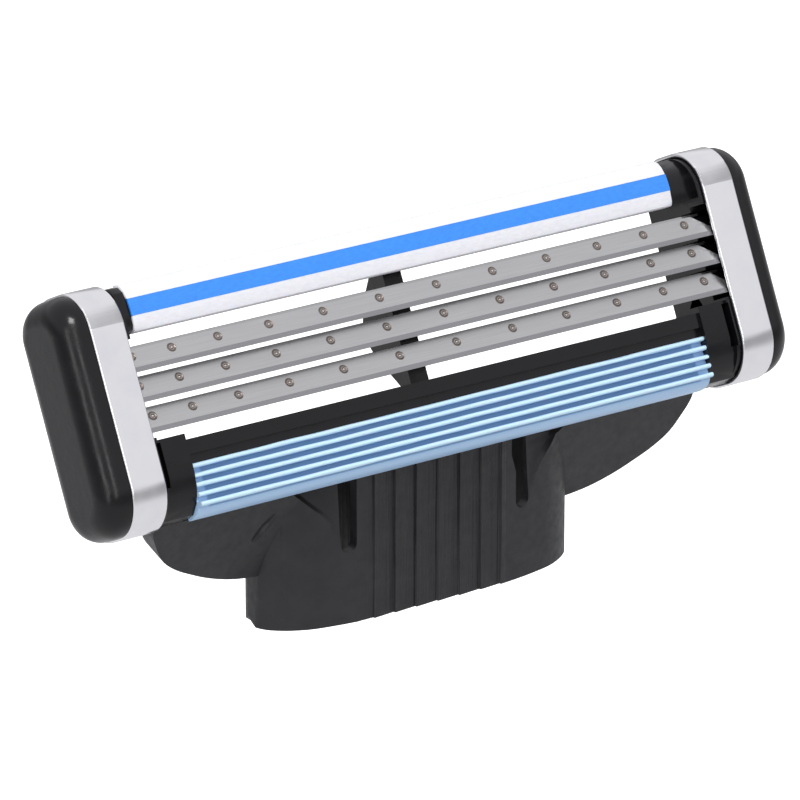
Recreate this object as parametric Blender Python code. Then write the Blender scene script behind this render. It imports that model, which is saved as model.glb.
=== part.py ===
"""A three-blade cartridge for a wet razor: the blade head and the connector that a handle plugs into.

The part frame has its origin at the centre of the handle socket's mouth, X along the blades,
Y from the front to the back, and Z up the socket towards the head.  The head is drawn in a frame
of its own, in millimetres: x along the blades, y from the guard to the cap, z out of the shaving
plane, with z = 0 at the three cutting edges.
"""

import math

import bmesh
import bpy
from mathutils import Matrix, Vector

MM = 0.001

# Where the head sits on the connector
HEAD_Y, HEAD_Z = -2.5, 15.38  # the head frame's origin, in the part frame
HEAD_TILT = 63.5  # degrees about X from the part frame to the head frame
PIVOT_Y, PIVOT_Z = -4.6, -1.0  # the pivot axis, in the head frame

# Metal clips, and the end of the housing inside them
CLIP_X0, CLIP_X1 = 17.5, 19.45
CLIP_BOX = (-7.02, 5.27, -5.0, 0.26)  # outside of the band: y0, y1, z0, z1
CLIP_RADII = (1.9, 2.4, 2.1, 1.9)  # back guard, front guard, front cap, back cap
CLIP_THICK = 0.25
CLIP_LEG_ENDS = (-2.6, 1.7)  # where the two legs stop on the back
END_X, END_ROUND = 20.9, 1.35
WALL_X = 17.25  # inner face of each end of the housing
FIT = 0.02  # gap between two pieces that are assembled

# Blades and their bent supports
EDGE_Y = (0.67, -0.816, -2.356)  # cutting edges
BLADE_SHIFT = (-0.70, -0.70, -0.40)  # where each blade has settled along x
BLADE_TILT = 21.5
BLADE_WIDE, BLADE_THICK, BEVEL_WIDE = 1.24, 0.10, 0.26
BLADE_HALF, BLADE_TIP_HALF = 17.45, 18.6
LEG_BACK, LEG_THICK, LEG_BOTTOM = 1.29, 0.13, -2.40
SUPPORT_HALF = 18.45

# Spring fingers under the ends of the supports
FINGER_LONG, FINGER_WIDE, FINGER_THICK = 2.55, 0.50, 0.34

# Lubricating strip and guard
STRIP_X0, STRIP_X1 = -16.85, 15.65
STRIP_Y0, STRIP_Y1 = 2.57, 5.08
STRIPE_Y0, STRIPE_Y1 = 3.366, 4.23
FIN_Y0, FIN_PITCH, FINS, FIN_TIP_Z, FIN_ROOT_Z = -4.38, 0.473, 5, -0.30, -0.74
FIN_HALF, GUARD_HALF = 15.33, 15.56

# Connector
SOCKET_TOP_FRONT, SOCKET_TOP_BACK = 7.75, 6.3
SOCKET_HALF_THICK, CAVITY_HALF_THICK, CAVITY_HALF_WIDE = 2.65, 2.06, 8.35
SLOT_X, SLOT_HALF, SLOT_END = 5.32, 0.44, 4.28  # SLOT_END: height of the slot's round end
WING_TILT, WING_THICK = 45.0, 1.6
WING_Y, WING_Z = -7.0, -4.0  # top edge of the wing's front face, in the head frame
ARM_X0, ARM_X1, JOURNAL_X1 = 15.2, 16.35, 18.3
ARM_R1, JOURNAL_R0, JOURNAL_R1 = 4.2, 2.25, 2.95

TO_HEAD = Matrix.Translation((0, HEAD_Y, HEAD_Z)) @ Matrix.Rotation(math.radians(HEAD_TILT), 4, "X")


# ---------------------------------------------------------------- helpers

def clear_scene():
    for obj in list(bpy.data.objects):
        bpy.data.objects.remove(obj, do_unlink=True)


def collection(name, hidden=False):
    made = bpy.data.collections.new(name)
    bpy.context.scene.collection.children.link(made)
    made.hide_render = hidden
    return made


def material(name, colour, roughness, metallic=0.0):
    made = bpy.data.materials.new(name)
    made.use_nodes = True
    shader = made.node_tree.nodes["Principled BSDF"]
    shader.inputs["Base Color"].default_value = (*colour, 1.0)
    shader.inputs["Roughness"].default_value = roughness
    shader.inputs["Metallic"].default_value = metallic
    return made


def rounded_box(box, radii, inset=0.0, steps=12):
    """The outline of a box with four round corners, from its back guard corner round by the front."""
    y0, y1, z0, z1 = box[0] + inset, box[1] - inset, box[2] + inset, box[3] - inset
    corners = ((y0, z0, 1, 1, 270), (y0, z1, 1, -1, 180), (y1, z1, -1, -1, 90), (y1, z0, -1, 1, 0))
    points = []
    for (y, z, sy, sz, start), radius in zip(corners, radii):
        r = radius - inset
        for i in range(steps + 1):
            a = math.radians(start - 90 * i / steps)
            points.append((y + sy * r + r * math.cos(a), z + sz * r + r * math.sin(a)))
    return points


def sector(r0, r1, a0, a1, steps=10):
    """A ring sector about the pivot axis, between two angles in degrees."""
    angles = [math.radians(a0 + (a1 - a0) * i / steps) for i in range(steps + 1)]
    outer = [(PIVOT_Y + r1 * math.cos(a), PIVOT_Z + r1 * math.sin(a)) for a in angles]
    inner = [(PIVOT_Y + r0 * math.cos(a), PIVOT_Z + r0 * math.sin(a)) for a in angles]
    return outer + inner[::-1]


def smooth(points, steps=4):
    """A smooth curve through the points, with this many steps between each two of them."""
    ends = [points[0], *points, points[-1]]
    curve = []
    for p0, p1, p2, p3 in zip(ends, ends[1:], ends[2:], ends[3:]):
        for i in range(steps):
            t = i / steps
            curve.append(tuple(
                b + 0.5 * t * (c - a + t * (2 * a - 5 * b + 4 * c - d + t * (3 * (b - c) + d - a)))
                for a, b, c, d in zip(p0, p1, p2, p3)))
    return curve + [points[-1]]


def loft(bm, rings):
    """Joins rings of points into one closed body with flat ends."""
    made = [[bm.verts.new(p) for p in ring] for ring in rings]
    count = len(made[0])
    for a, b in zip(made, made[1:]):
        for i in range(count):
            j = (i + 1) % count
            bm.faces.new((a[i], a[j], b[j], b[i]))
    bm.faces.new(made[0])
    bm.faces.new(made[-1])
    return made


def along_x(bm, outline, x0, x1):
    loft(bm, [[(x, y, z) for y, z in outline] for x in (x0, x1)])


def box(bm, x0, x1, y0, y1, z0, z1):
    along_x(bm, [(y0, z0), (y1, z0), (y1, z1), (y0, z1)], x0, x1)


def new_object(name, bm, where, slot=None, parent=None, at=(0, 0, 0)):
    """Turns a mesh drawn in millimetres into an object whose origin is `at`."""
    bmesh.ops.translate(bm, vec=-Vector(at), verts=bm.verts)
    bmesh.ops.scale(bm, vec=(MM, MM, MM), verts=bm.verts)
    bmesh.ops.recalc_face_normals(bm, faces=bm.faces)
    mesh = bpy.data.meshes.new(name)
    bm.to_mesh(mesh)
    bm.free()
    obj = bpy.data.objects.new(name, mesh)
    where.objects.link(obj)
    if parent is None:
        obj.location = Vector(at) * MM
    else:
        obj.parent = parent
        obj.location = (Vector(at) - Vector((0, PIVOT_Y, PIVOT_Z))) * MM
    if slot:
        mesh.materials.append(slot)
    return obj


def helper(name, parent, draw):
    """A hidden body that a Boolean joins to, or cuts from, a piece."""
    bm = bmesh.new()
    draw(bm)
    obj = new_object(name, bm, helpers, parent=parent)
    obj.display_type = "WIRE"
    obj.hide_render = True
    return obj


def boolean(obj, operation, other):
    step = obj.modifiers.new(other.name, "BOOLEAN")
    step.operation = operation
    step.solver = "EXACT"
    step.object = other


# ---------------------------------------------------------------- housing

def draw_end(bm, side):
    """One end of the housing: the bed that the clip wraps, then the rounded black end outside it."""
    bed = rounded_box(CLIP_BOX, CLIP_RADII, CLIP_THICK + FIT)
    rings = [[(side * x, y, z) for y, z in bed] for x in (WALL_X, CLIP_X1 + FIT)]
    stations = [(CLIP_X1 + FIT, 0.10)]
    for i in range(11):
        a = math.radians(9 * i)
        stations.append((END_X - END_ROUND * (1 - math.sin(a)), 0.10 + END_ROUND * (1 - math.cos(a))))
    for x, inset in stations:
        rings.append([(side * x, y, z) for y, z in rounded_box(CLIP_BOX, CLIP_RADII, inset)])
    loft(bm, rings)


CAP_RAIL = [(2.70, -3.9), (2.70, -0.62), (3.20, -0.50), (3.80, -0.55), (4.35, -0.80), (4.80, -1.25),
            (5.02, -1.90), (5.02, -3.4), (4.30, -4.3)]
STRIP_STOP = [(2.72, -1.5), (2.72, -0.24), (2.95, -0.12), (3.40, -0.08), (4.10, -0.14), (4.60, -0.32),
              (4.90, -0.66), (5.00, -1.5)]
GUARD_RAIL = [(-3.05, -3.1), (-5.9, -3.1), (-6.85, -2.6), (-6.85, -1.99), (-6.28, -1.99),
              (-6.28, -1.17), (-4.27, -1.17), (-4.27, -0.62), (-3.80, -0.62), (-3.80, -0.36), (-3.05, -0.36)]
GUARD_CHEEK = [(-2.75, -3.1), (-5.9, -3.1), (-6.72, -2.75), (-6.86, -2.2), (-6.68, -1.35), (-6.2, -0.78),
               (-5.5, -0.36), (-4.7, -0.18), (-2.75, -0.18)]
RIB = [(2.9, -3.0), (-3.3, -3.0), (-3.3, -3.7), (-2.2, -4.7), (-1.2, -5.6), (-0.4, -6.0), (0.6, -6.0),
       (1.6, -5.5), (2.9, -4.2)]


def build_housing():
    bm = bmesh.new()
    draw_end(bm, -1)
    housing = new_object("housing", bm, parts, black, head)

    def rails(bm):
        along_x(bm, CAP_RAIL, -WALL_X - 0.2, WALL_X + 0.2)

    def guard(bm):
        along_x(bm, GUARD_RAIL, -GUARD_HALF - 0.3, GUARD_HALF + 0.3)

    boolean(housing, "UNION", helper("cap_rail", head, rails))
    boolean(housing, "UNION", helper("right_end", head, lambda bm: draw_end(bm, 1)))
    boolean(housing, "UNION", helper("guard_rail", head, guard))
    for side in (-1, 1):
        x = sorted((side * (GUARD_HALF + FIT), side * (WALL_X + 0.2)))
        cheek = helper(f"guard_cheek_{side}", head, lambda bm: along_x(bm, GUARD_CHEEK, *x))
        boolean(housing, "UNION", cheek)
    boolean(housing, "UNION", helper("centre_rib", head, lambda bm: along_x(bm, RIB, -0.55, 0.55)))
    boolean(housing, "UNION", helper("strip_stop", head, lambda bm: along_x(
        bm, STRIP_STOP, -WALL_X - 0.2, STRIP_X0 - FIT)))

    # the strip's bed and the groove that its tongue drops into
    x0, x1 = STRIP_X0 - FIT, STRIP_X1 + FIT
    bed = helper("strip_bed", head, lambda bm: box(bm, x0, x1, 2, 6, -1.17, 1))
    groove = helper("strip_groove", head, lambda bm: box(bm, x0, x1, 3.28, 4.42, -1.62, 1))
    boolean(housing, "DIFFERENCE", bed)
    boolean(housing, "DIFFERENCE", groove)
    for side in (-1, 1):
        x0, x1 = sorted((side * (WALL_X - 0.4), side * 19.38))
        pocket = helper(f"blade_pocket_{side}", head, lambda bm: box(bm, x0, x1, -2.62, 2.30, -1.05, 0.5))
        boolean(housing, "DIFFERENCE", pocket)
        for k, edge in enumerate(EDGE_Y):
            y1 = edge + LEG_BACK + 0.08
            slot = helper(f"leg_slot_{k}_{side}", head,
                          lambda bm: box(bm, x0, x1, y1 - LEG_THICK - 0.16, y1, -2.75, -0.9))
            boolean(housing, "DIFFERENCE", slot)
        # room for the connector's arms behind the guard, and the curved groove their journals ride in
        a0, a1 = sorted((side * 14.9, side * WALL_X))
        room = helper(f"arm_room_{side}", head, lambda bm: along_x(bm, sector(2.12, 4.4, -133, -24), a0, a1))
        boolean(housing, "DIFFERENCE", room)
        g0, g1 = sorted((side * (WALL_X - 0.2), side * (JOURNAL_X1 + 0.1)))
        ring = helper(f"journal_groove_{side}", head, lambda bm: along_x(
            bm, sector(JOURNAL_R0 - 0.06, JOURNAL_R1 + 0.06, -115, -30), g0, g1))
        boolean(housing, "DIFFERENCE", ring)
        # narrow trench between the guard's cheek and the clip
        t0, t1 = sorted((side * 17.03, side * 17.35))
        trench = helper(f"trench_{side}", head, lambda bm: box(bm, t0, t1, -5.15, -2.9, -1.0, 0.5))
        boolean(housing, "DIFFERENCE", trench)
    return housing


# ---------------------------------------------------------------- other head pieces

def build_clip(name, side):
    outer = rounded_box(CLIP_BOX, CLIP_RADII)
    inner = rounded_box(CLIP_BOX, CLIP_RADII, CLIP_THICK)
    z0 = CLIP_BOX[2]
    low, high = CLIP_LEG_ENDS
    path = [(low, z0)] + outer + [(high, z0)]
    back = [(high, z0 + CLIP_THICK)] + inner[::-1] + [(low, z0 + CLIP_THICK)]
    x = sorted((side * CLIP_X0, side * CLIP_X1))
    bm = bmesh.new()
    along_x(bm, path + back, *x)
    return new_object(name, bm, parts, steel_clip, head)


def build_strip():
    """White strip with a channel along it; its tongue drops into the cap."""
    y0, y1, c0, c1 = STRIP_Y0, STRIP_Y1, STRIPE_Y0 - 0.006, STRIPE_Y1 + 0.006
    front = smooth([(y0, -0.34), (y0 + 0.06, -0.16), (y0 + 0.22, -0.06), (c0, 0.0)])
    back = smooth([(c1, -0.08), (4.60, -0.24), (4.86, -0.44), (5.02, -0.70), (y1, -1.15)])
    tongue = [(4.40, -1.15), (4.40, -1.60), (3.30, -1.60), (3.30, -1.15)]
    outline = [(y0, -1.15)] + front + [(c0, -0.56), (c1, -0.56)] + back + tongue
    bm = bmesh.new()
    along_x(bm, outline, STRIP_X0, STRIP_X1)
    strip = new_object("lubricating_strip", bm, parts, white, head)
    bm = bmesh.new()
    crown = smooth([(STRIPE_Y1, -0.08), (3.8, -0.015), (STRIPE_Y0, 0.0)])
    along_x(bm, [(STRIPE_Y0, -0.55), (STRIPE_Y1, -0.55)] + crown, STRIP_X0, STRIP_X1)
    return strip, new_object("indicator_stripe", bm, parts, blue, head)


def build_guard():
    """Soft guard: a base block with long fins, and a smooth face below the last one."""
    face = smooth([(-6.93, -1.97), (-6.86, -1.45), (-6.66, -0.95), (-6.45, -0.70)])
    base = [(-4.29, -1.15), (-6.30, -1.15), (-6.30, -1.97)] + face + [(-4.29, -0.66)]
    bm = bmesh.new()
    along_x(bm, base, -GUARD_HALF, GUARD_HALF)
    guard = new_object("guard_fins", bm, parts, soft_blue, head)

    def fins(bm):
        for i in range(FINS):
            y = FIN_Y0 - i * FIN_PITCH
            z = FIN_ROOT_Z - 0.1
            fin = [(y - 0.17, z), (y - 0.10, FIN_TIP_Z - 0.07), (y - 0.05, FIN_TIP_Z), (y + 0.05, FIN_TIP_Z),
                   (y + 0.09, FIN_TIP_Z - 0.07), (y + 0.086, z)]
            along_x(bm, fin, -FIN_HALF, FIN_HALF)

    boolean(guard, "UNION", helper("fins", head, fins))
    return guard


def tilted(edge, back, down):
    """A point of the blade's section: so far back from the cutting edge, and so far below its face."""
    a = math.radians(BLADE_TILT)
    return (edge + back * math.cos(a) - down * math.sin(a), -0.012 - back * math.sin(a) - down * math.cos(a))


def build_blade(k):
    """A ground strip whose ends taper to a narrow tab under each clip."""
    edge, shift = EDGE_Y[k], BLADE_SHIFT[k]
    plan = [(-BLADE_TIP_HALF, 0.02), (BLADE_TIP_HALF, 0.02), (BLADE_TIP_HALF, 0.22), (BLADE_HALF, BLADE_WIDE),
            (-BLADE_HALF, BLADE_WIDE), (-BLADE_TIP_HALF, 0.22)]
    split = [(-BLADE_TIP_HALF + 0.05, BEVEL_WIDE), (BLADE_TIP_HALF - 0.05, BEVEL_WIDE)]
    bm = bmesh.new()
    top, low = [], []
    for x, back in [plan[0], plan[1], split[1], plan[3], plan[4], split[0]]:
        y, z = tilted(edge, back, 0.0)
        drop = 0.035 if back < 0.1 else BLADE_THICK
        y1, z1 = tilted(edge, back + (0.0 if back > 0.1 else 0.02), drop)
        top.append(bm.verts.new((x + shift, y, z)))
        low.append(bm.verts.new((x + shift, y1, z1)))
    for ring in (top, low):
        bm.faces.new((ring[0], ring[1], ring[2], ring[5]))
        bm.faces.new((ring[5], ring[2], ring[3], ring[4]))
    for i in range(6):
        j = (i + 1) % 6
        bm.faces.new((top[i], top[j], low[j], low[i]))
    return new_object(f"blade_{k + 1}", bm, parts, blade_steel, head, (shift, edge, -0.2))


def build_support(k):
    """A bent strip: the platform under the blade, a tight bend behind it, and a leg straight down."""
    edge, shift = EDGE_Y[k], BLADE_SHIFT[k]
    gap = BLADE_THICK + 0.006
    y1 = edge + LEG_BACK
    y0 = y1 - LEG_THICK
    top_front = tilted(edge, 0.50, gap)
    top_back = tilted(edge, 1.18, gap)
    low_front = tilted(edge, 0.50, gap + LEG_THICK)
    low_back = tilted(edge, 1.06, gap + LEG_THICK)
    outline = [low_front, top_front, top_back, (y1 - 0.02, top_back[1] - 0.06), (y1, top_back[1] - 0.14),
               (y1, LEG_BOTTOM), (y0, LEG_BOTTOM), (y0, low_back[1] - 0.04), low_back]
    bm = bmesh.new()
    along_x(bm, outline, shift - 17.0, shift + 17.0)
    support = new_object(f"blade_support_{k + 1}", bm, parts, support_steel, head, (shift, edge, -1.2))

    def leg(bm):
        box(bm, shift - SUPPORT_HALF, shift + SUPPORT_HALF, y0, y1, LEG_BOTTOM, -1.2)

    boolean(support, "UNION", helper(f"long_leg_{k}", head, leg))
    return support


def build_finger(k, side):
    """A short springy finger from the end wall, with a pad that carries the leg of a support."""
    y = EDGE_Y[k] + LEG_BACK - FINGER_WIDE / 2 - 0.02
    root, tip = WALL_X - 0.03, WALL_X - 0.03 - FINGER_LONG
    top = LEG_BOTTOM - 0.20
    low = top - FINGER_THICK
    outline = [(root, low), (root, top), (tip + 0.55, top), (tip + 0.45, LEG_BOTTOM - 0.015),
               (tip + 0.10, LEG_BOTTOM - 0.015), (tip, top), (tip, low + 0.10)]
    bm = bmesh.new()
    loft(bm, [[(side * x, yy, z) for x, z in outline] for yy in (y - FINGER_WIDE / 2, y + FINGER_WIDE / 2)])
    name = f"spring_finger_{'left' if side < 0 else 'right'}_{k + 1}"
    return new_object(name, bm, parts, black, head, (side * root, y, top - FINGER_THICK / 2))


# ---------------------------------------------------------------- connector

SOCKET_FRONT = smooth([(9.50, 0.30), (9.36, 0.70), (9.04, 1.14), (8.40, 1.65), (7.65, 2.05), (7.00, 2.27),
                       (6.20, 2.44), (5.60, 2.55), (4.90, 2.65)], 3)
STEPS_X = (3.90, 2.63, 1.32, 0.0, -1.32, -2.63, -3.90)  # edges of the shallow ribs on the front
SCOOP_CREST = smooth([(4.1, 5.9), (4.8, 6.08), (5.55, 6.40), (6.0, 6.71), (6.42, 7.15), (6.97, 7.74),
                      (7.5, 8.2), (8.4, 8.7)], 2)  # height, and how far out its outer end is
SCOOP_DEEP, FOOT_ROUND, RIB_HIGH = 0.42, 0.5, 0.11


def socket_outline():
    """The socket seen along its axis: flat sides, a rounded front with shallow ribs, a plain back."""
    front = [(x, -y) for x, y in SOCKET_FRONT]
    ribs = []
    for x in STEPS_X:
        ribs += [(x + 0.02, -SOCKET_HALF_THICK - RIB_HIGH), (x - 0.02, -SOCKET_HALF_THICK)]
    left = [(-x, y) for x, y in front[::-1]]
    back = [(x, -y) for x, y in left[::-1]]
    return front + ribs + left + back + [(-x, y) for x, y in back[::-1]]


def socket_depth(x):
    """How far in front of its middle the socket's face is, at a distance x from the centre."""
    for (x0, y0), (x1, y1) in zip(SOCKET_FRONT, SOCKET_FRONT[1:]):
        if x1 <= x <= x0:
            return y1 + (y0 - y1) * (x - x1) / (x0 - x1)
    return SOCKET_HALF_THICK


def upright(bm, outline, z0, z1):
    loft(bm, [[(x, y, z) for x, y in outline] for z in (z0, z1)])


def cavity_outline():
    w, t = CAVITY_HALF_WIDE, CAVITY_HALF_THICK
    quarter = [(w, 0.3), (w - 0.35, 0.85), (w - 1.0, 1.40), (w - 1.9, 1.80), (w - 3.0, t)]
    right = [(x, -y) for x, y in quarter]
    left = [(-x, y) for x, y in right[::-1]]
    back = [(x, -y) for x, y in left[::-1]]
    return right + left + back + [(-x, y) for x, y in back[::-1]]


def wing_point(x, t, depth):
    """A point on the wings, t down from their top edge and so deep behind the front face."""
    a = math.radians(WING_TILT)
    y = WING_Y - t * math.cos(a) + depth * math.sin(a)
    return x, y, WING_Z - t * math.sin(a) - depth * math.cos(a)


WING_EDGE = smooth([(16.50, 0.0), (16.42, 0.40), (16.11, 1.11), (15.55, 2.10), (14.67, 2.87),
                    (13.58, 3.49), (12.44, 4.03), (11.00, 4.50), (9.40, 4.74), (7.50, 4.80)])


def draw_wings(bm):
    half = [(16.50, -0.35)] + WING_EDGE
    outline = half + [(-x, t) for x, t in half[::-1]]
    loft(bm, [[wing_point(x, t, depth) for x, t in outline] for depth in (0.0, WING_THICK)])


def build_connector():
    bm = bmesh.new()
    upright(bm, socket_outline(), 0.0, SOCKET_TOP_FRONT)
    connector = new_object("connector", bm, parts, black_connector)

    def in_part_frame(draw):
        def run(bm):
            draw(bm)
            bmesh.ops.transform(bm, matrix=TO_HEAD, verts=bm.verts)
        return run

    boolean(connector, "UNION", helper("wings", None, in_part_frame(draw_wings)))
    for side in (-1, 1):
        x = sorted((side * ARM_X0, side * ARM_X1))
        arm = helper(f"arm_{side}", None, in_part_frame(
            lambda bm: along_x(bm, sector(JOURNAL_R0, ARM_R1, -124, -108), *x)))
        boolean(connector, "UNION", arm)
        x = sorted((side * (ARM_X0 + 0.1), side * JOURNAL_X1))
        journal = helper(f"journal_{side}", None, in_part_frame(
            lambda bm: along_x(bm, sector(JOURNAL_R0 + 0.003, JOURNAL_R1, -112, -76), *x)))
        boolean(connector, "UNION", journal)
    # the top slopes down to the back, clear of the head when it swings
    slope = [(-3.6, 9.5), (3.6, 9.5), (3.6, SOCKET_TOP_BACK - 0.5), (-2.0, SOCKET_TOP_FRONT + 0.3)]
    hollow = helper("cavity", None, lambda bm: upright(bm, cavity_outline(), -1.0, 12.0))
    boolean(connector, "DIFFERENCE", helper("top_slope", None, lambda bm: along_x(bm, slope, -11.0, 11.0)))
    boolean(connector, "DIFFERENCE", hollow)
    for side in (-1, 1):
        def slot(bm):
            inner, flare = SLOT_X - SLOT_HALF, 0.3 if side > 0 else 0.0
            points = [(SLOT_X + SLOT_HALF, 9.5), (inner - flare, 9.5), (inner - flare, 6.9), (inner, 5.9)]
            for i in range(13):
                a = math.radians(180 + 15 * i)
                points.append((SLOT_X + SLOT_HALF * math.cos(a), SLOT_END + SLOT_HALF * math.sin(a)))
            loft(bm, [[(side * x, y, z) for x, z in points] for y in (-3.5, -1.2)])

        def scoop(bm):
            """Slopes from flush at its foot to its full depth at the top, and ends at a crest."""
            rings = []
            for z, crest in SCOOP_CREST:
                deep = SCOOP_DEEP * (z - 4.3) / 3.4
                foot = crest - 0.3
                section = [(5.4, -3.2), (crest + 0.6, -3.2), (crest, -socket_depth(crest)),
                           (foot, deep - socket_depth(foot)), (5.4, 0.6 * deep - socket_depth(5.4))]
                rings.append([(side * x, y, z) for x, y in section])
            loft(bm, rings)

        def foot_corner(bm):
            """Rounds the foot of the flat side, from nothing at its front edge to the full radius behind."""
            rings = []
            for y, r in ((-0.36, 0.03), (0.25, FOOT_ROUND), (2.2, FOOT_ROUND)):
                arc = [math.radians(-90 * i / 8) for i in range(9)]
                curve = [(9.5 - r * (1 - math.cos(a)), r * (1 + math.sin(a))) for a in arc]
                outline = [(9.8, -0.2), (9.8, r)] + curve + [(9.5 - r, -0.2)]
                rings.append([(side * x, y, z) for x, z in outline])
            loft(bm, rings)

        for name, draw in (("slot", slot), ("scoop", scoop), ("foot_corner", foot_corner)):
            boolean(connector, "DIFFERENCE", helper(f"{name}_{side}", None, draw))
    return connector


# ---------------------------------------------------------------- assembly

clear_scene()
parts = collection("razor_cartridge")
helpers = collection("helpers", hidden=True)

black = material("black_plastic", (0.012, 0.012, 0.014), 0.32)
black_connector = material("connector_plastic", (0.020, 0.020, 0.022), 0.45)
steel_clip = material("clip_aluminium", (0.78, 0.78, 0.80), 0.28, 1.0)
blade_steel = material("blade_steel", (0.55, 0.55, 0.56), 0.30, 1.0)
support_steel = material("support_steel", (0.50, 0.50, 0.50), 0.35, 1.0)
white = material("strip_white", (0.85, 0.85, 0.88), 0.45)
blue = material("stripe_blue", (0.05, 0.30, 0.90), 0.45)
soft_blue = material("guard_elastomer", (0.42, 0.62, 0.85), 0.40)

head = bpy.data.objects.new("head_pivot", None)
parts.objects.link(head)
head.matrix_world = TO_HEAD @ Matrix.Translation((0, PIVOT_Y, PIVOT_Z))
head.location = head.location * MM

build_connector()
build_housing()
build_clip("clip_left", -1)
build_clip("clip_right", 1)
build_strip()
build_guard()
for number in range(3):
    build_blade(number)
    build_support(number)
    for end in (-1, 1):
        build_finger(number, end)
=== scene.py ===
# %% [markdown]
# # A razor cartridge, finished for looks
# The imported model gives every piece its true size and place. This lesson gives each piece its finish:
# soft moulded edges, folded foil, ground steel, weld spots, soap and rubber, and then light and a camera.

# %% Load the frame
import math

import bmesh
import bpy
from mathutils import Matrix, Vector, noise


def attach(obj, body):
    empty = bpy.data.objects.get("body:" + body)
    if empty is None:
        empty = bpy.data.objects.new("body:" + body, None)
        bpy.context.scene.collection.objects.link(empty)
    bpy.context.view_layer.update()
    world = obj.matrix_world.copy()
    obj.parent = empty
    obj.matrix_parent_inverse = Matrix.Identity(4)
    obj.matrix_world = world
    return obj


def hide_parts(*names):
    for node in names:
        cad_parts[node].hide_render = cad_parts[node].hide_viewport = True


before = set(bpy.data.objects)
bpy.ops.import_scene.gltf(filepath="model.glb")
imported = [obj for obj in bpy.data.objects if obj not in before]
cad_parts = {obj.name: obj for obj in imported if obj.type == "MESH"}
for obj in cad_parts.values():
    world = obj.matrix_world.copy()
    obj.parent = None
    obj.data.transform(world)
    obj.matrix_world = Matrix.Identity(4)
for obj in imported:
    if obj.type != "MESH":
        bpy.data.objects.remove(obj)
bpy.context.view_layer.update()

# %% [markdown]
# The blade head leans back on its connector. Drawing it is easier in a frame of its own, in millimetres:
# x along the blades, y from the guard to the cap, z out of the shaving plane. One matrix takes a finished
# piece from there to the world, in metres.

# %% Two drawing frames
HEAD_TILT = math.radians(63.5)
HEAD_ORIGIN = (0, -0.0025, 0.01538)
TO_WORLD = Matrix.Scale(0.001, 4)
HEAD_TO_WORLD = Matrix.Translation(HEAD_ORIGIN) @ Matrix.Rotation(HEAD_TILT, 4, "X") @ TO_WORLD
print("head frame origin:", [round(v * 1000, 2) for v in HEAD_TO_WORLD.translation], "mm")

# %% [markdown]
# A long lens, a third of a metre away, keeps the cartridge's long edges nearly parallel. Its direction is
# given in the head's frame: facing the blades, then turned round to the left and rolled a little.

# %% Camera
def look_at_head(position, yaw, pitch, roll, lens):
    """A camera placed in the head's millimetres, turned by three angles in degrees from facing the blades."""
    yaw, pitch, roll = (math.radians(a) for a in (yaw, pitch, roll))
    back = Vector((-math.sin(yaw) * math.cos(pitch), -math.sin(pitch), math.cos(yaw) * math.cos(pitch)))
    up = (Vector((0, 1, 0)) - back * back.y).normalized()
    right = up.cross(back)
    right, up = (right * math.cos(roll) + up * math.sin(roll), up * math.cos(roll) - right * math.sin(roll))
    turn = HEAD_TO_WORLD.to_3x3().normalized() @ Matrix((right, up, back)).transposed()
    camera = bpy.data.objects.new("camera", bpy.data.cameras.new("camera"))
    bpy.context.scene.collection.objects.link(camera)
    camera.matrix_world = Matrix.Translation(HEAD_TO_WORLD @ Vector(position)) @ turn.to_4x4()
    camera.data.lens = lens
    camera.data.clip_start, camera.data.clip_end = 0.01, 20
    return camera


bpy.context.scene.camera = look_at_head(
    position=(-171.13, -10.34, 268.59), yaw=32.0, pitch=1.20, roll=-14.70, lens=288.2)
print("camera at", [round(v, 3) for v in bpy.context.scene.camera.location])

# %% [markdown]
# Every finish starts from one Principled shader. Patterns are read from Object coordinates, turned into the
# head's millimetres by a Mapping node, so that a scale of 5 means five grains to the millimetre.

# %% Material helpers
def principled(name, colour, roughness, metallic=0.0, **sockets):
    """A new material; any other socket is given by its name, with underscores for spaces."""
    material = bpy.data.materials.new(name)
    material.use_nodes = True
    shader = material.node_tree.nodes["Principled BSDF"]
    shader.inputs["Base Color"].default_value = (*colour, 1)
    shader.inputs["Roughness"].default_value = roughness
    shader.inputs["Metallic"].default_value = metallic
    for socket, value in sockets.items():
        shader.inputs[socket.replace("_", " ")].default_value = value
    return material


def node(material, kind, **settings):
    """A new node, its settings given as properties or as sockets."""
    made = material.node_tree.nodes.new(kind)
    for key, value in settings.items():
        if hasattr(made, key):
            setattr(made, key, value)
        else:
            made.inputs[key.replace("_", " ")].default_value = value
    return made


def link(material, out, to):
    material.node_tree.links.new(out, to)


def millimetres(material, stretch=(1, 1, 1), on_head=True):
    """Object coordinates as millimetres in the head's frame, or the world's, stretched along each axis."""
    place = node(material, "ShaderNodeTexCoord")
    to_head = node(material, "ShaderNodeMapping")
    scale = node(material, "ShaderNodeMapping")
    if on_head:
        back = HEAD_TO_WORLD.inverted()
        to_head.inputs["Rotation"].default_value = (-HEAD_TILT, 0, 0)
        to_head.inputs["Location"].default_value = back.translation
    to_head.inputs["Scale"].default_value = (1000, 1000, 1000)
    scale.inputs["Scale"].default_value = stretch
    link(material, place.outputs["Object"], to_head.inputs["Vector"])
    link(material, to_head.outputs["Vector"], scale.inputs["Vector"])
    return scale.outputs["Vector"]


def grain(material, vector, scale, detail=3.0):
    """A 0 to 1 noise."""
    made = node(material, "ShaderNodeTexNoise", Scale=scale, Detail=detail, Roughness=0.55)
    link(material, vector, made.inputs["Vector"])
    return made.outputs["Fac"]


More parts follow.
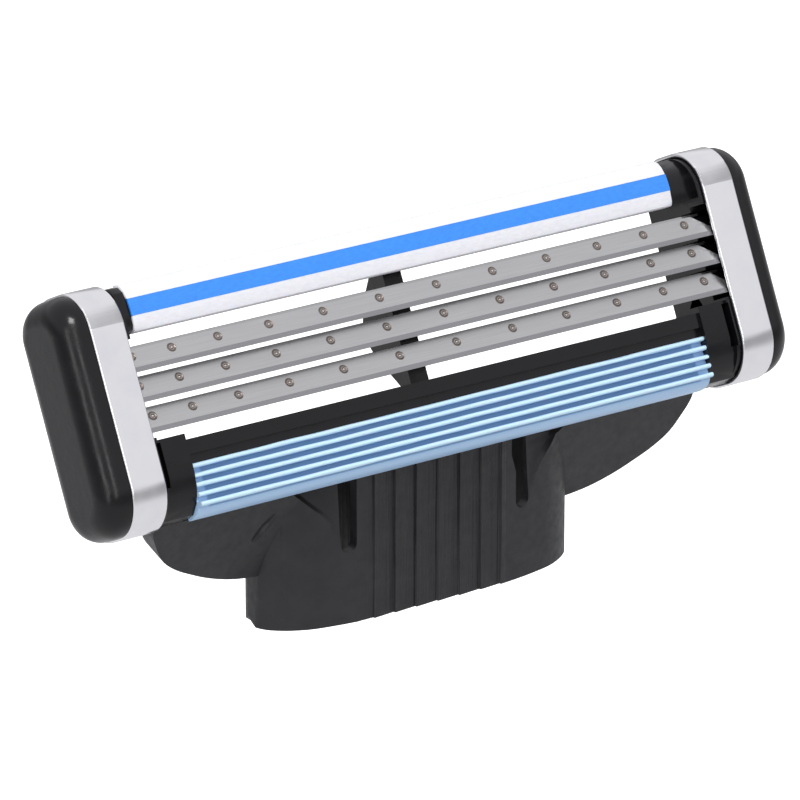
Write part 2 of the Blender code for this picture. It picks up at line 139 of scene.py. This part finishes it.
def spread(material, value, low, high, start=0.3, end=0.7):
    """Maps a 0 to 1 pattern to a range, so it can drive a roughness or a height."""
    made = node(material, "ShaderNodeMapRange")
    for socket, number in zip(("From Min", "From Max", "To Min", "To Max"), (start, end, low, high)):
        made.inputs[socket].default_value = number
    link(material, value, made.inputs["Value"])
    return made.outputs["Result"]


def combine(material, operation, first, second):
    """A product, sum or maximum of two patterns or numbers, or the first one without its sign."""
    made = node(material, "ShaderNodeMath", operation=operation)
    for socket, value in zip(made.inputs, (first, second)):
        if isinstance(value, (int, float)):
            socket.default_value = value
        else:
            link(material, value, socket)
    return made.outputs["Value"]


def axes(material, vector):
    """The separate X, Y and Z of a vector."""
    split = node(material, "ShaderNodeSeparateXYZ")
    link(material, vector, split.inputs["Vector"])
    return split.outputs


def into(material, value, socket):
    """Feeds a pattern to one socket of the material's shader."""
    link(material, value, material.node_tree.nodes["Principled BSDF"].inputs[socket])


def bump(material, height, distance, under=None):
    """Relief from a pattern, laid over another; distance is the height of its full range, in metres."""
    made = node(material, "ShaderNodeBump", Strength=1.0, Distance=distance)
    link(material, height, made.inputs["Height"])
    if under:
        link(material, under, made.inputs["Normal"])
    into(material, made.outputs["Normal"], "Normal")
    return made.outputs["Normal"]


def blend_colours(material, pattern, stops):
    """A colour ramp over a 0 to 1 pattern."""
    ramp = node(material, "ShaderNodeValToRGB")
    while len(ramp.color_ramp.elements) < len(stops):
        ramp.color_ramp.elements.new(0.5)
    for element, (position, colour) in zip(ramp.color_ramp.elements, stops):
        element.position, element.color = position, (*colour, 1)
    link(material, pattern, ramp.inputs["Fac"])
    return ramp.outputs["Color"]


# %% [markdown]
# Black mouldings are rarely one black. The head is polished: its gloss changes slowly where the mould was
# wiped, and tiny flow marks ripple the reflections. The connector comes from a sparked mould and is satin.
# Its middle is also drawn with fine upright grooves, a noise stretched along z and faded out at the sides,
# and a shallow dent lies at its left corner. Both are bump, which turns the light and leaves the shape alone.

# %% Black plastics
gloss_black = principled("polished_black", (0.005, 0.005, 0.006), 0.2, Specular_IOR_Level=0.33)
place = millimetres(gloss_black)
into(gloss_black, spread(gloss_black, grain(gloss_black, place, 0.9), 0.16, 0.30), "Roughness")
bump(gloss_black, grain(gloss_black, place, 1.6, 2.0), 0.000012)

satin_black = principled("satin_black", (0.019, 0.019, 0.021), 0.48)
place = millimetres(satin_black, on_head=False)
into(satin_black, spread(satin_black, grain(satin_black, place, 2.2), 0.40, 0.56), "Roughness")
into(satin_black, blend_colours(satin_black, grain(satin_black, place, 0.8), [
    (0.35, (0.012, 0.012, 0.014)), (0.65, (0.017, 0.017, 0.019))]), "Base Color")
sparked = bump(satin_black, grain(satin_black, place, 28.0, 2.0), 0.000004)
drawn = grain(satin_black, millimetres(satin_black, (1.6, 1.0, 0.02), on_head=False), 2.6, 4.0)
width = combine(satin_black, "ABSOLUTE", axes(satin_black, place)["X"], 0.0)
drawn_middle = combine(satin_black, "MULTIPLY", drawn, spread(satin_black, width, 1, 0, 3.9, 4.2))
grooves = bump(satin_black, drawn_middle, 0.00016, under=sparked)
hollow = node(satin_black, "ShaderNodeMapping", vector_type="TEXTURE", Location=(-9.68, -1.54, 5.82),
              Rotation=(0, math.radians(39), 0), Scale=(0.30, 1.2, 0.95))
dent = node(satin_black, "ShaderNodeTexGradient", gradient_type="SPHERICAL")
link(satin_black, place, hollow.inputs["Vector"])
link(satin_black, hollow.outputs["Vector"], dent.inputs["Vector"])
bump(satin_black, spread(satin_black, dent.outputs["Fac"], 0, -1, 0.0, 0.6), 0.0002, under=grooves)
print("black plastics ready")

# %% [markdown]
# Aluminium and steel. The clips are bright rolled aluminium, so their fine lines run round the fold, and
# near the cap the sheet swells to a crease: a relief that grows with y. The blades are ground lengthwise: a
# noise stretched along x makes the hairlines, finer on the honed edge. Weld spots are tempered brown.

# %% Metals
foil = principled("rolled_aluminium", (0.83, 0.83, 0.85), 0.24, 1.0)
place = millimetres(foil)
lines = grain(foil, millimetres(foil, (9, 0.5, 0.5)), 2.0)
clouds = grain(foil, place, 0.7)
into(foil, spread(foil, clouds, 0.15, 0.26), "Roughness")
across = axes(foil, place)["Y"]
CREASE_STARTS, CREASE_ENDS = 3.17, 4.20
rise = spread(foil, across, 0, 1, CREASE_STARTS, CREASE_ENDS)
swell = combine(foil, "MULTIPLY", rise, combine(foil, "ADD", combine(foil, "MULTIPLY", rise, 0.65), 0.35))
creases = bump(foil, swell, 0.00041)
bump(foil, lines, 0.000003, under=creases)
into(foil, blend_colours(foil, clouds, [(0.3, (0.80, 0.80, 0.83)), (0.7, (0.88, 0.88, 0.89))]), "Base Color")

ground_steel = principled("ground_steel", (0.52, 0.52, 0.525), 0.36, 1.0)
hairs = grain(ground_steel, millimetres(ground_steel, (0.12, 14, 14)), 3.0, 4.0)
into(ground_steel, spread(ground_steel, hairs, 0.30, 0.46), "Roughness")
into(ground_steel, blend_colours(ground_steel, hairs, [
    (0.3, (0.48, 0.48, 0.485)), (0.7, (0.57, 0.57, 0.575))]), "Base Color")
bump(ground_steel, hairs, 0.000002)

edge_steel = principled("honed_edge", (0.33, 0.33, 0.34), 0.30, 1.0)
hairs = grain(edge_steel, millimetres(edge_steel, (0.4, 30, 30)), 3.0)
into(edge_steel, spread(edge_steel, hairs, 0.24, 0.38), "Roughness")
bump(edge_steel, hairs, 0.000001)

burnt_steel = principled("weld_ring", (0.20, 0.165, 0.145), 0.30, 1.0)
# the weld centre's bright colour is a painted highlight on the top of each spot's dome
weld_highlight_steel = principled("weld_centre_painted_highlight", (0.75, 0.74, 0.73), 0.18, 1.0)
for steel, smoothest, roughest in ((burnt_steel, 0.25, 0.5), (weld_highlight_steel, 0.12, 0.3)):
    into(steel, spread(steel, grain(steel, millimetres(steel), 9.0), smoothest, roughest), "Roughness")

strip_steel = principled("rolled_strip", (0.45, 0.45, 0.45), 0.35, 1.0)
into(strip_steel, spread(strip_steel, grain(strip_steel, millimetres(strip_steel, (0.2, 6, 6)), 2.0),
                         0.28, 0.45), "Roughness")
print("metals ready")

# %% [markdown]
# The soap strip is pressed powder in plastic: matt, slightly see-through, finely pitted. Its stripe is the
# same stuff, dyed. The guard is a clear-ish rubber whose colour holds painted light: the fin tips, the front
# lip and the flanges at both ends are painted pale, as a painted highlight and glow, and the grooves are
# painted dark, as painted shade. Object coordinates give all three, as the height above the shaving plane,
# the distance to the front and the distance from the middle.

# %% Soft materials
def soap(name, light, dark):
    """Pressed soap whose colour drifts between two tones."""
    material = principled(name, light, 0.5, Subsurface_Weight=0.08, Subsurface_Scale=0.0003)
    place = millimetres(material, (0.6, 1.5, 1.5))
    into(material, blend_colours(material, grain(material, place, 5.0, 5.0), [(0.3, dark), (0.62, light)]),
         "Base Color")
    bump(material, grain(material, place, 16.0, 3.0), 0.000006)
    return material


white_soap = soap("white_soap", (0.87, 0.87, 0.91), (0.80, 0.80, 0.85))
blue_soap = soap("blue_soap", (0.045, 0.29, 0.90), (0.035, 0.25, 0.84))

fin_rubber = principled("fin_rubber", (0.42, 0.62, 0.85), 0.38,
                        Subsurface_Weight=0.15, Subsurface_Scale=0.0004)
split = axes(fin_rubber, millimetres(fin_rubber))
# masks for painted light: the fin tips, the front lip and the end flanges are painted as highlight and glow
height = spread(fin_rubber, split["Z"], 0, 1, -0.76, -0.32)
lip = spread(fin_rubber, split["Y"], 0.72, 0, -6.50, -6.40)
flange = spread(fin_rubber, combine(fin_rubber, "ABSOLUTE", split["X"], 0.0), 0, 0.7, 14.85, 15.0)
painted_light = combine(fin_rubber, "MAXIMUM", combine(fin_rubber, "MAXIMUM", height, lip), flange)
# the ramp paints light into the colour: pale painted highlight on tips, lip and flanges, dark painted shade
# in the grooves
into(fin_rubber, blend_colours(fin_rubber, painted_light, [
    (0.0, (0.17, 0.33, 0.56)), (0.5, (0.30, 0.50, 0.76)), (0.72, (0.42, 0.62, 0.86)),
    (1.0, (0.62, 0.85, 0.98))]), "Base Color")
bump(fin_rubber, grain(fin_rubber, millimetres(fin_rubber, (0.5, 2, 2)), 6.0), 0.000006)
print("soft materials ready")

# %% [markdown]
# One helper turns a finished bmesh into a piece. It welds doubles, turns faces outward, marks as sharp only
# the edges that really are, hangs the piece on what it rides on and hides the imported solid it stands for.
# Two small ones keep flat faces flat under the light and cut a mesh across.

# %% From bmesh to piece
def piece(name, bm, body, materials, stands_for=(), to_world=HEAD_TO_WORLD, sharp=35):
    bmesh.ops.remove_doubles(bm, verts=bm.verts, dist=0.0005)
    bmesh.ops.recalc_face_normals(bm, faces=bm.faces)
    bmesh.ops.transform(bm, matrix=to_world, verts=bm.verts)
    for face in bm.faces:
        face.smooth = True
    for edge in bm.edges:
        edge.smooth = edge.is_manifold and edge.calc_face_angle(0.0) < math.radians(sharp)
    mesh = bpy.data.meshes.new(name)
    bm.to_mesh(mesh)
    bm.free()
    made = bpy.data.objects.new(name, mesh)
    bpy.context.scene.collection.objects.link(made)
    for material in materials:
        mesh.materials.append(material)
    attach(made, body)
    if stands_for:
        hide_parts(*stands_for)
    print(name, len(mesh.polygons), "faces")
    return made


def weighted(made):
    """Flat faces keep their own direction and only the rounded edges between them turn the light."""
    modifier = made.modifiers.new("weighted_normals", "WEIGHTED_NORMAL")
    modifier.keep_sharp = True


def cut(bm, point, direction):
    """Adds edges where a plane crosses the mesh, and removes nothing."""
    everything = bm.verts[:] + bm.edges[:] + bm.faces[:]
    bmesh.ops.bisect_plane(bm, geom=everything, plane_co=point, plane_no=direction)


# %% [markdown]
# A moulding's edges are never knife-sharp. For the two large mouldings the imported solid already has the
# true shape, so a copy is merged, its flat areas are dissolved to single faces, and every real edge is
# bevelled by a few hundredths of a millimetre: enough to catch a line of light.

# %% Softened mouldings
def softened(node_name, name, body, material, radius, to_world=HEAD_TO_WORLD):
    """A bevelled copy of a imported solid, its radius in millimetres."""
    bm = bmesh.new()
    bm.from_mesh(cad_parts[node_name].data)
    bmesh.ops.transform(bm, matrix=to_world.inverted(), verts=bm.verts)
    bmesh.ops.remove_doubles(bm, verts=bm.verts, dist=0.002)
    bmesh.ops.dissolve_limit(bm, angle_limit=math.radians(0.7), verts=bm.verts, edges=bm.edges)
    real = [e for e in bm.edges if e.calc_face_angle(0.0) > math.radians(28)]
    bmesh.ops.bevel(bm, geom=real, offset=radius, offset_type="OFFSET", segments=2, profile=0.5,
                    affect="EDGES", clamp_overlap=True, material=-1)
    weighted(piece(name, bm, body, [material], [node_name], to_world))


softened("connector", "connector_moulding", "connector", satin_black, 0.04, TO_WORLD)
softened("housing", "housing_moulding", "head", gloss_black, 0.05)

# %% [markdown]
# Each clip is a strip of thin aluminium folded round the head. Start from a box, round its four long edges
# to the fold radii, cut away the ends and the open back, give the sheet its thickness inward, and round its
# cut rims, which are bright and soft on punched sheet.

# %% Clips
CLIP_SIZE = (1.95, 12.29, 5.26)
CLIP_X, CLIP_Y, CLIP_Z = 18.475, -0.875, -2.37
FOLDS = ((-1, -1, 1.9), (-1, 1, 2.4), (1, 1, 2.1), (1, -1, 1.9))  # side in y, side in z, radius
LEG_ENDS = (-2.6, 1.7)
FOIL_THICK = 0.25


def clip(name, side):
    """One band; side is -1 for the left end of the head and 1 for the right."""
    bm = bmesh.new()
    bmesh.ops.create_cube(bm, size=1.0)
    bmesh.ops.scale(bm, vec=CLIP_SIZE, verts=bm.verts)
    bmesh.ops.translate(bm, vec=(side * CLIP_X, CLIP_Y, CLIP_Z), verts=bm.verts)
    for y, z, radius in FOLDS:
        fold = [e for e in bm.edges if abs(e.verts[0].co.x - e.verts[1].co.x) > 1
                and all((v.co.y - CLIP_Y) * y > 6.1 and (v.co.z - CLIP_Z) * z > 2.6 for v in e.verts)]
        bmesh.ops.bevel(bm, geom=fold, offset=radius, segments=14, profile=0.5, affect="EDGES", material=-1)
    ends = [f for f in bm.faces if abs(f.normal.x) > 0.9]
    bmesh.ops.delete(bm, geom=ends, context="FACES_ONLY")
    for y in LEG_ENDS:
        cut(bm, (0, y, 0), (0, 1, 0))
    middles = [(f, f.calc_center_median()) for f in bm.faces]
    back = [f for f, middle in middles if middle.z < -4.9 and LEG_ENDS[0] < middle.y < LEG_ENDS[1]]
    bmesh.ops.delete(bm, geom=back, context="FACES")
    bmesh.ops.recalc_face_normals(bm, faces=bm.faces)
    bmesh.ops.solidify(bm, geom=bm.faces, thickness=FOIL_THICK)
    rim = [e for e in bm.edges if e.calc_face_angle(0.0) > math.radians(60)]
    bmesh.ops.bevel(bm, geom=rim, offset=0.11, segments=3, profile=0.5, affect="EDGES", material=-1)
    weighted(piece(name + "_band", bm, "head", [foil], [name]))


clip("clip_left", -1)
clip("clip_right", 1)

# %% [markdown]
# The soap strip and its stripe are extrusions. A profile is drawn once as a face and pushed along x. The
# strip has a channel for the stripe, and the rims of its two ends are bevelled a little.

# %% Extruding a profile
def extruded(bm, outline, x0, x1, steps=1):
    """A closed bar: the outline as one face at x0, pushed to x1, then cut across into steps."""
    face = bm.faces.new([bm.verts.new((x0, y, z)) for y, z in outline])
    pushed = bmesh.ops.extrude_face_region(bm, geom=[face])
    far = [v for v in pushed["geom"] if isinstance(v, bmesh.types.BMVert)]
    bmesh.ops.translate(bm, vec=(x1 - x0, 0, 0), verts=far)
    for i in range(1, steps):
        cut(bm, (x0 + (x1 - x0) * i / steps, 0, 0), (1, 0, 0))


STRIP_LEFT, STRIP_RIGHT, STRIP_STEPS = -16.85, 15.65, 60
STRIP = [(2.57, -1.15), (2.57, -0.28), (2.62, -0.17), (2.78, -0.08), (3.36, 0.0), (3.36, -0.56),
         (4.236, -0.56), (4.236, -0.08), (4.60, -0.22), (4.86, -0.42), (5.02, -0.68), (5.08, -1.15)]
STRIPE = [(3.366, -0.55), (4.230, -0.55), (4.230, -0.075), (3.80, -0.012), (3.366, 0.002)]

bm = bmesh.new()
extruded(bm, STRIP, STRIP_LEFT, STRIP_RIGHT, STRIP_STEPS)
end_edges = [e for e in bm.edges
             if abs(e.verts[0].co.x - e.verts[1].co.x) < 0.001 and e.calc_face_angle(0) > 1.2]
bmesh.ops.bevel(bm, geom=end_edges, offset=0.05, segments=2, profile=0.5, affect="EDGES", material=-1)
piece("strip_body", bm, "head", [white_soap], ["lubricating_strip"])

bm = bmesh.new()
extruded(bm, STRIPE, STRIP_LEFT, STRIP_RIGHT, STRIP_STEPS)
piece("strip_stripe", bm, "head", [blue_soap], ["indicator_stripe"])

# %% [markdown]
# The guard is a comb of five fins on a soft base. Real fins are not perfectly straight, so after the bar is
# cut across, a gentle noise moves each fin's tip a few hundredths of a millimetre.

# %% Guard
GUARD_HALF_LONG, GUARD_STEPS = 15.56, 120
GUARD_BASE = [(-4.29, -1.15), (-6.30, -1.15), (-6.30, -1.97), (-6.93, -1.97), (-6.90, -1.62), (-6.80, -1.20),
              (-6.66, -0.93), (-6.48, -0.74)]
FINS, FIRST_FIN, FIN_PITCH = 5, -6.272, 0.473
FIN = [(-0.13, -0.74), (-0.115, -0.42), (-0.07, -0.33), (0, -0.30), (0.07, -0.33), (0.115, -0.42),
       (0.13, -0.74)]
WANDER, WAVE = 0.030, 0.020  # how far a tip strays in y and in z

crest = [(FIRST_FIN + FIN_PITCH * k + y, z) for k in range(FINS) for y, z in FIN]
bm = bmesh.new()
extruded(bm, GUARD_BASE + crest, -GUARD_HALF_LONG, GUARD_HALF_LONG, GUARD_STEPS)
for v in bm.verts:
    if v.co.z > -0.5:
        v.co.y += WANDER * noise.noise(Vector((v.co.x * 0.35, round(v.co.y / FIN_PITCH), 3.0)))
        v.co.z += WAVE * noise.noise(Vector((v.co.x * 0.8, round(v.co.y / FIN_PITCH), 9.0)))
piece("guard_comb", bm, "head", [fin_rubber], ["guard_fins"], sharp=50)

# %% [markdown]
# Each blade is a thin strip lying on a slope: ground flat, honed to a bevel along its front, tapered to a
# tab at both ends. An outline drawn as one face gives it, thickness comes from solidify, and the honed
# front, cut off from the rest by one edge, is thinned and gets its own steel.

# %% Blades
EDGES = (0.67, -0.816, -2.356)
SHIFTS = (-0.70, -0.70, -0.40)
EDGE_HEIGHT = -0.012
SLOPE = math.radians(21.5)
BLADE = [(-18.6, 0.0), (18.6, 0.0), (18.6, 0.22), (17.45, 1.24), (-17.45, 1.24), (-18.6, 0.22)]
BLADE_THICK = 0.1
HONED = 0.25


def on_blade(k):
    """Takes a point drawn flat (x, back from the edge, up) onto blade k's slope."""
    return Matrix.Translation((SHIFTS[k], EDGES[k], EDGE_HEIGHT)) @ Matrix.Rotation(-SLOPE, 4, "X")


def blade(k):
    """Blade k, counted from 0 at the cap."""
    bm = bmesh.new()
    bm.faces.new([bm.verts.new((x, y, 0)) for x, y in BLADE])
    cut(bm, (0, HONED, 0), (0, 1, 0))
    bmesh.ops.recalc_face_normals(bm, faces=bm.faces)
    if bm.faces[0].normal.z < 0:
        bmesh.ops.reverse_faces(bm, faces=bm.faces)
    bmesh.ops.solidify(bm, geom=bm.faces, thickness=BLADE_THICK)
    bm.normal_update()
    for v in bm.verts:
        if abs(v.co.y) < 0.01:
            v.co.z = -0.048 if v.co.z > -BLADE_THICK / 2 else -0.056
    for face in bm.faces:
        face.material_index = int(face.calc_center_median().y < HONED - 0.01)
    bmesh.ops.transform(bm, matrix=on_blade(k), verts=bm.verts)
    name = f"blade_{k + 1}"
    piece(name + "_ground", bm, name, [ground_steel, edge_steel], [name], sharp=4)


for k in range(3):
    blade(k)

# %% [markdown]
# A laser welds each blade to its support in a row of spots. A spot is a burnt ring, a hollow and a small
# centre painted in bright steel, a painted highlight on the top of its dome: half a profile, spun about its
# own axis, and repeated along the blade. The spots sit closer together toward the blade's ends, so their
# places follow a sine, leaning a little to the right.

# %% Weld spots
SPOT = [(0.0, 0.030), (0.05, 0.022), (0.09, 0.004), (0.13, -0.002), (0.17, 0.010), (0.205, 0.026),
        (0.235, 0.020), (0.25, -0.004)]  # distance from the axis, height
SPOTS, SPOT_BACK, CENTRE_HEIGHT = 12, 0.86, 0.028
ROW_REACH, ROW_TURN, ROW_MIDDLE, ROW_LEAN = 22.2, 0.155, -1.03, 0.0155
THIRD_ROW_SHIFT = 0.306


def weld_row(k):
    """The spots of blade k."""
    bm = bmesh.new()
    for i in range(SPOTS):
        step = i - (SPOTS - 1) / 2
        x = ROW_REACH * math.sin(ROW_TURN * step) + ROW_MIDDLE + ROW_LEAN * step * step
        x += -SHIFTS[k] + (THIRD_ROW_SHIFT if k == 2 else 0)
        line = [bm.verts.new((x + r, SPOT_BACK, z)) for r, z in SPOT]
        edges = [bm.edges.new(pair) for pair in zip(line, line[1:])]
        bmesh.ops.spin(bm, geom=line + edges, cent=(x, SPOT_BACK, 0), axis=(0, 0, 1), angle=math.tau,
                       steps=18, use_merge=True)
    bmesh.ops.remove_doubles(bm, verts=bm.verts, dist=0.0005)
    for face in bm.faces:
        # the faces at the top of each dome take the bright steel: a painted highlight
        face.material_index = int(max(v.co.z for v in face.verts) > CENTRE_HEIGHT)
    bmesh.ops.transform(bm, matrix=on_blade(k), verts=bm.verts)
    piece(f"blade_{k + 1}_welds", bm, f"blade_{k + 1}", [burnt_steel, weld_highlight_steel])


for k in range(3):
    weld_row(k)

# %% [markdown]
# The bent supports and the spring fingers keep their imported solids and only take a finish: rolled steel for
# the supports, the head's own plastic for the fingers.

# %% Hidden working parts
for name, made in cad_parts.items():
    if name.startswith(("blade_support", "spring_finger")):
        made.data.materials.clear()
        made.data.materials.append(strip_steel if name.startswith("blade_support") else gloss_black)
        print(name, "takes", made.data.materials[0].name)

# %% [markdown]
# The cartridge stands in a light tent: bright above and below, with a dimmer band at the horizon that gives
# the folds of the clips something to show. The paper floor glows a little and is seen by the camera only:
# in reflections and in the light it sends up, the tent takes its place.

# %% Room
FLOOR_HEIGHT = -0.06
TENT = ((-0.30, 0.80), (-0.08, 0.42), (0.13, 0.38), (0.33, 0.86), (1.0, 0.84))  # how far up, grey
scene = bpy.context.scene
scene.view_settings.view_transform = "Standard"
bm = bmesh.new()
bmesh.ops.create_grid(bm, x_segments=1, y_segments=1, size=6.0)
bmesh.ops.translate(bm, vec=(0, 0, FLOOR_HEIGHT), verts=bm.verts)
floor_mesh = bpy.data.meshes.new("floor")
bm.to_mesh(floor_mesh)
bm.free()
floor = bpy.data.objects.new("floor", floor_mesh)
scene.collection.objects.link(floor)
paper = principled("white_paper", (0.93, 0.93, 0.93), 0.9, Emission_Color=(1, 1, 1, 1), Emission_Strength=0.6)
into(paper, spread(paper, grain(paper, millimetres(paper, on_head=False), 0.4), 0.85, 0.95), "Roughness")
floor_mesh.materials.append(paper)
floor.visible_diffuse = floor.visible_glossy = floor.visible_transmission = False

world = bpy.data.worlds.new("light_tent")
scene.world = world
world.use_nodes = True
tent = world.node_tree
direction = tent.nodes.new("ShaderNodeTexCoord")
height = tent.nodes.new("ShaderNodeSeparateXYZ")
ramp = tent.nodes.new("ShaderNodeValToRGB")
tent.links.new(direction.outputs["Generated"], height.inputs["Vector"])
lifted = tent.nodes.new("ShaderNodeMapRange")
lifted.inputs["From Min"].default_value = -1.0
tent.links.new(height.outputs["Z"], lifted.inputs["Value"])
tent.links.new(lifted.outputs["Result"], ramp.inputs["Fac"])
tent.links.new(ramp.outputs["Color"], tent.nodes["Background"].inputs["Color"])
while len(ramp.color_ramp.elements) < len(TENT):
    ramp.color_ramp.elements.new(0.5)
for element, (up, grey) in zip(ramp.color_ramp.elements, TENT):
    element.position, element.color = 0.5 + up / 2, (grey, grey, grey * 1.03, 1)
tent.nodes["Background"].inputs["Strength"].default_value = 1.0
print("tent has", len(TENT), "levels of grey")

# %% [markdown]
# Area lights are given by the brightness that a mirror would show, so a box can be resized without changing
# its reflection. A small strong key, high on the left, gives the soap and rubber their brightness. Two tall
# boxes on the left draw the two streaks down the rounded black end.

# %% Lights
LIT_POINT = Vector((0, -0.005, 0.01))


def soft_box(name, direction, distance, size, brightness):
    """An area light in this direction of the world, facing the cartridge."""
    data = bpy.data.lights.new(name, "AREA")
    data.shape, data.size, data.size_y = "RECTANGLE", size[0], size[1]
    data.energy = brightness * math.pi * size[0] * size[1]
    light = bpy.data.objects.new(name, data)
    scene.collection.objects.link(light)
    toward = Vector(direction).normalized()
    light.location = LIT_POINT + toward * distance
    light.rotation_mode = "QUATERNION"
    light.rotation_quaternion = toward.to_track_quat("Z", "Y")


soft_box("key", (-0.35, -0.35, 0.87), distance=0.7, size=(0.2, 0.2), brightness=16.0)
soft_box("end_streak_side", (-0.87, -0.42, 0.24), distance=0.5, size=(0.09, 0.35), brightness=2.6)
soft_box("end_streak_front", (-0.48, -0.78, 0.41), distance=0.5, size=(0.07, 0.30), brightness=3.0)
